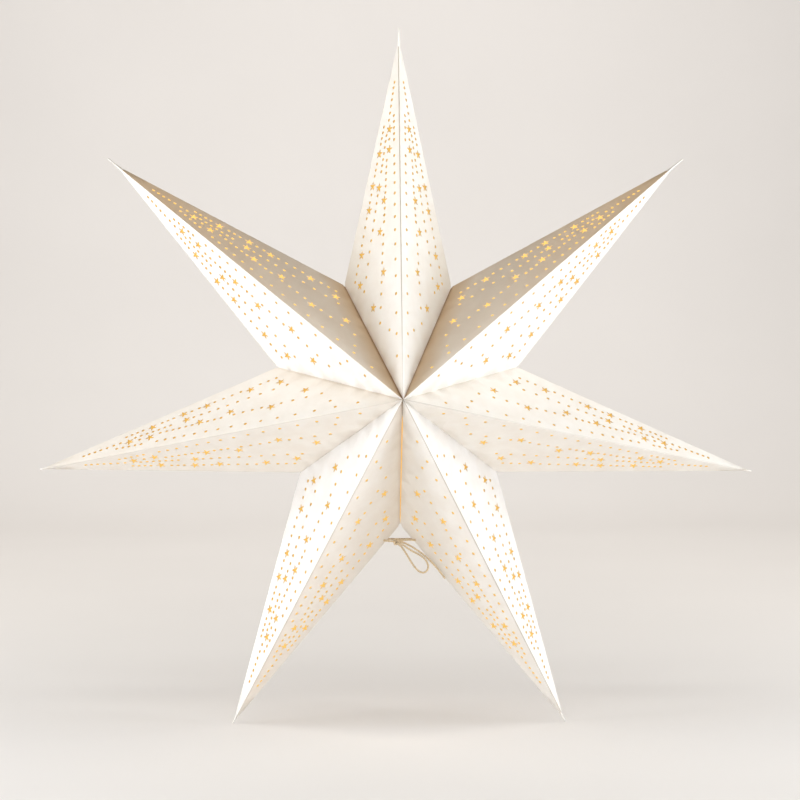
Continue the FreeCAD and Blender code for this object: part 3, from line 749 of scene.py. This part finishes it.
def twine_piece(name, line, square_to, opened=0.0):
    """Twine along a line: two strands wound round it as helices, each a tube of its own. Both
    draw in over the last 0.8 mm, and over the last 5 mm they may open by a share."""
    along = np.concatenate([[0], np.cumsum(np.linalg.norm(np.diff(line, axis=0), axis=1))])
    length = along[-1]
    even = np.linspace(0, length, int(length / STRAND_STEP))
    line = np.stack([np.interp(even, along, line[:, k]) for k in range(3)], axis=1)
    aside, up = side_frames(line, square_to)
    ends = np.clip(np.minimum(even, length - even) / DRAWN_END, 0.05, 1.0) ** 0.5
    opening = np.clip((even - length) / OPENED_END + 1, 0, 1) ** 2
    reach = STRAND_OFFSET * TWINE_DIAMETER * (1 + opened * opening)
    turn = 2 * np.pi * even / TWINE_PITCH
    strands = [tube(line + reach[:, None] * (aside * np.cos(turn + begin)[:, None]
                                             + up * np.sin(turn + begin)[:, None]),
                    STRAND_RADIUS * TWINE_DIAMETER * ends, square_to) for begin in (0, np.pi)]
    size = len(strands[0][0])
    thing = add_mesh(name, np.concatenate([strand[0] for strand in strands]),
                     strands[0][1], strands[1][1] + size, strands[0][2], strands[1][2] + size)
    add_map(thing.data, "strand", np.concatenate([strand[3] for strand in strands]))
    thing.data.shade_smooth()
    return thing


SIDEWAYS, UPWARDS = (0.0, 1.0, 0.0), (0.0, 0.0, 1.0)
twine_band = twine_piece("twine_band", smooth_line("band_line", BAND_ROUTE), UPWARDS)
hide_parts("tie_band")

# The knot is the same twine drawn tight over itself: a closed trefoil that shows two rings
# round a dark middle.
wind = np.linspace(0, 2 * np.pi, 241)
trefoil = np.stack([(2 + np.cos(3 * wind)) * np.cos(2 * wind) / 3, np.sin(3 * wind),
                    (2 + np.cos(3 * wind)) * np.sin(2 * wind) / 3], axis=1)
twine_knot = twine_piece("twine_knot", KNOT + trefoil * KNOT_HALF_SIZE, SIDEWAYS)
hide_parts("tie_knot")

bow_line = smooth_line("bow_line", BOW_ROUTE)
twine_bow = twine_piece("twine_bow", bow_line, SIDEWAYS)
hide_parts("tie_bow")
tail_line = smooth_line("tail_line", TAIL_ROUTE)
twine_tail = twine_piece("twine_tail", tail_line, SIDEWAYS, opened=0.5)
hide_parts("tie_tail")

# Undyed cotton, two plies, matt and slightly hairy. Fibres about 0.14 mm wide run along each
# strand in darker and paler streaks.
twine, tree = new_material("undyed_cotton_twine")
strand = node(tree, "UVMap", {"uv_map": "strand"})
stretched = node(tree, "Mapping", {"Scale": (1 / (3.0 * MM), 1.6, 1.0)}, {0: strand.outputs["UV"]})
fibre = node(tree, "TexNoise", {"Scale": 2.2, "Detail": 4.0, "Roughness": 0.65},
             {"Vector": stretched.outputs[0]})
share = node(tree, "MapRange", {"From Min": 0.3, "From Max": 0.7}, {"Value": fibre.outputs[0]})
tint = node(tree, "Mix", {"data_type": "RGBA", 6: linear("#BC9C6C"), 7: linear("#F1E0C2")},
            {0: share.outputs[0]})
bump = node(tree, "Bump", {"Strength": 0.6, "Distance": 0.12 * MM}, {"Height": fibre.outputs[0]})
skin = node(tree, "BsdfPrincipled", {"Roughness": 0.85, "Specular IOR Level": 0.2,
                                     "Sheen Weight": 0.3},
            {"Base Color": tint.outputs[2], "Normal": bump.outputs[0]})
node(tree, "OutputMaterial", (), {"Surface": skin.outputs[0]})
for thing in (twine_band, twine_knot, twine_bow, twine_tail):
    thing.data.materials.append(twine)


# ---------------------------------------------------------------- lamp holder
# A plain white lamp holder moulded in urea plastic stands inside on the seam's tabs. It is
# smooth with a very fine moulded grain, and yellows a little towards the lamp.
holder_low, holder_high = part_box("lamp_holder")
plastic, tree = new_material("moulded_white_plastic")
place = node(tree, "TexCoord")
height = node(tree, "SeparateXYZ", (), {0: place.outputs["Object"]})
warm = node(tree, "MapRange", {"From Min": holder_low.z, "From Max": holder_high.z},
            {"Value": height.outputs["Z"]})
tint = node(tree, "Mix", {"data_type": "RGBA", 6: linear("#F3F1EA"), 7: linear("#EFE7D6")},
            {0: warm.outputs[0]})
grain = node(tree, "TexNoise", {"Scale": 1 / (0.5 * MM), "Detail": 2.0},
             {"Vector": place.outputs["Object"]})
bump = node(tree, "Bump", {"Strength": 0.2, "Distance": 0.03 * MM}, {"Height": grain.outputs[0]})
skin = node(tree, "BsdfPrincipled", {"Roughness": 0.38, "IOR": 1.5},
            {"Base Color": tint.outputs[2], "Normal": bump.outputs[0]})
node(tree, "OutputMaterial", (), {"Surface": skin.outputs[0]})
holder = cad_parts["lamp_holder"]
holder.data.materials.clear()
holder.data.materials.append(plastic)


# ---------------------------------------------------------------- bulb
# A small globe bulb of smooth, milky opal glass, cemented into a rolled brass cap. The holder
# hides all but 1 mm of the cap, whose thread is drawn only as slow waves 17.6 mm long.
bulb_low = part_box("bulb")[0]
CAP_LENGTH = 27 * MM
THREAD_RADIAN = 2.8 * MM         # the waves turn by a radian over this
opal, tree = new_material("opal_glass_and_brass_cap")
place = node(tree, "TexCoord")
height = node(tree, "SeparateXYZ", (), {0: place.outputs["Object"]})
glass = node(tree, "Math", {"operation": "GREATER_THAN", 1: bulb_low.z + CAP_LENGTH},
             {0: height.outputs["Z"]})
metal = node(tree, "Math", {"operation": "SUBTRACT", 0: 1.0}, {1: glass.outputs[0]})
tint = node(tree, "Mix", {"data_type": "RGBA", 6: linear("#C9B27C"), 7: linear("#F6F4EE")},
            {0: glass.outputs[0]})
thread = node(tree, "TexWave", {"Scale": WAVE_RADIAN / THREAD_RADIAN, "bands_direction": "Z"},
              {"Vector": place.outputs["Object"]})
rolled = node(tree, "Math", {"operation": "MULTIPLY"}, {0: thread.outputs["Fac"],
                                                        1: metal.outputs[0]})
bump = node(tree, "Bump", {"Strength": 0.5, "Distance": 0.6 * MM}, {"Height": rolled.outputs[0]})
skin = node(tree, "BsdfPrincipled", {"Roughness": 0.25},
            {"Base Color": tint.outputs[2], "Metallic": metal.outputs[0],
             "Normal": bump.outputs[0]})
node(tree, "OutputMaterial", (), {"Surface": skin.outputs[0]})
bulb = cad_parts["bulb"]
bulb.data.materials.clear()
bulb.data.materials.append(opal)


# ---------------------------------------------------------------- floor, light and camera
# A seamless sweep of pale warm paper. Four soft boxes light the lamp from the left and right,
# two level with it and two higher, a strip lights it from low in front, one box lights the
# floor and two the background, and the air of the studio adds a little from all round.
SWEEP_HALF_WIDTH = 3.0
SWEEP_FRONT, SWEEP_BACK, SWEEP_TOP = -2.6, 1.6, 4.0
BEND_RADIUS = 1.2
bend = np.linspace(0, np.pi / 2, 24)
depth = np.concatenate([[SWEEP_FRONT], SWEEP_BACK + BEND_RADIUS * np.sin(bend),
                        [SWEEP_BACK + BEND_RADIUS]])
rise = np.concatenate([[0.0], BEND_RADIUS * (1 - np.cos(bend)), [SWEEP_TOP]])
across = np.array([[-SWEEP_HALF_WIDTH], [SWEEP_HALF_WIDTH]])
places = np.stack(np.broadcast_arrays(across, depth, rise), axis=-1).reshape(-1, 3)
rows = np.arange(len(depth) - 1)
quads = np.stack([rows, rows + len(depth), rows + len(depth) + 1, rows + 1], axis=-1)
sweep = add_mesh("paper_sweep", places, quads, body=None)
sweep.data.shade_smooth()

# Pale grey-beige background paper, matt, with a faint cloud 330 mm wide.
backing, tree = new_material("background_paper")
place = node(tree, "TexCoord")
cloud = node(tree, "TexNoise", {"Scale": 1 / (330 * MM), "Detail": 2.0},
             {"Vector": place.outputs["Object"]})
share = node(tree, "MapRange", {"From Min": 0.3, "From Max": 0.7}, {"Value": cloud.outputs[0]})
tint = node(tree, "Mix", {"data_type": "RGBA", 6: linear("#E8E3DF"), 7: linear("#EAE5E1")},
            {0: share.outputs[0]})
skin = node(tree, "BsdfPrincipled", {"Roughness": 0.9, "Specular IOR Level": 0.1},
            {"Base Color": tint.outputs[2]})
node(tree, "OutputMaterial", (), {"Surface": skin.outputs[0]})
sweep.data.materials.append(backing)


def soft_box(name, place, target, width, height, power, colour):
    """A large rectangular lamp at a place, facing a target."""
    lamp = bpy.data.lights.new(name, "AREA")
    lamp.shape = "RECTANGLE"
    lamp.size = width
    lamp.size_y = height
    lamp.energy = power
    lamp.color = linear(colour)[:3]
    thing = bpy.data.objects.new(name, lamp)
    bpy.context.scene.collection.objects.link(thing)
    thing.location = place
    thing.rotation_euler = (Vector(target) - Vector(place)).to_track_quat("-Z", "Y").to_euler()
    thing.visible_camera = False


soft_box("side_light_left", (-1.3, -0.23, 0.3), (0.0, 0.0, 0.3), 0.8, 0.6, 10.8, "#DCEAFF")
soft_box("side_light_right", (1.3, -0.23, 0.3), (0.0, 0.0, 0.3), 0.8, 0.6, 10.8, "#DCEAFF")
soft_box("high_light_left", (-1.2, 0.0, 0.8), (0.0, 0.0, 0.3), 1.3, 0.6, 9.8, "#FFFBF0")
soft_box("high_light_right", (1.2, 0.0, 0.8), (0.0, 0.0, 0.3), 1.3, 0.6, 9.8, "#FFFBF0")
soft_box("low_strip_light", (0.0, -1.3, 0.12), (0.0, 0.0, 0.3), 1.6, 0.24, 9.4, "#F2F9FF")
soft_box("floor_light", (0.0, -1.05, 1.75), (0.0, -0.25, 0.0), 2.4, 0.4, 8.1, "#FDFFFC")
soft_box("background_light", (0.0, 1.2, 1.5), (0.0, 2.8, 0.4), 3.0, 0.5, 21.6, "#FFFEFB")
soft_box("background_fill_light", (0.0, 0.45, 0.95), (0.0, 2.8, 0.5), 2.4, 0.2, 3.6, "#FFFCFA")
world = bpy.data.worlds.new("studio_air")
world.use_nodes = True
air = world.node_tree.nodes["Background"]
air.inputs["Color"].default_value = linear("#FFF8EE")
air.inputs["Strength"].default_value = 0.12
bpy.context.scene.world = world
bpy.context.scene.view_settings.view_transform = "Standard"

# The camera stands 2 m in front, a little to the left and above, and looks just below the
# centre through a long lens, both lens and sensor in millimetres.
CAMERA_AZIMUTH = math.radians(-2.21)
CAMERA_ELEVATION = math.radians(2.67)
CAMERA_DISTANCE = 2.0
CAMERA_SENSOR, CAMERA_LENS = 36.0, 110.1
LOOK_OFFSET = Vector((1.47 * MM, 0.0, -4.82 * MM))
camera_data = bpy.data.cameras.new("camera")
camera_data.sensor_width = CAMERA_SENSOR
camera_data.lens = CAMERA_LENS
camera = bpy.data.objects.new("camera", camera_data)
bpy.context.scene.collection.objects.link(camera)
towards = Vector((math.sin(CAMERA_AZIMUTH) * math.cos(CAMERA_ELEVATION),
                  -math.cos(CAMERA_AZIMUTH) * math.cos(CAMERA_ELEVATION),
                  math.sin(CAMERA_ELEVATION)))
camera.location = Vector(HUB) + towards * CAMERA_DISTANCE
look_at = Vector(HUB) + LOOK_OFFSET
camera.rotation_euler = (look_at - camera.location).to_track_quat("-Z", "Y").to_euler()
bpy.context.scene.camera = camera
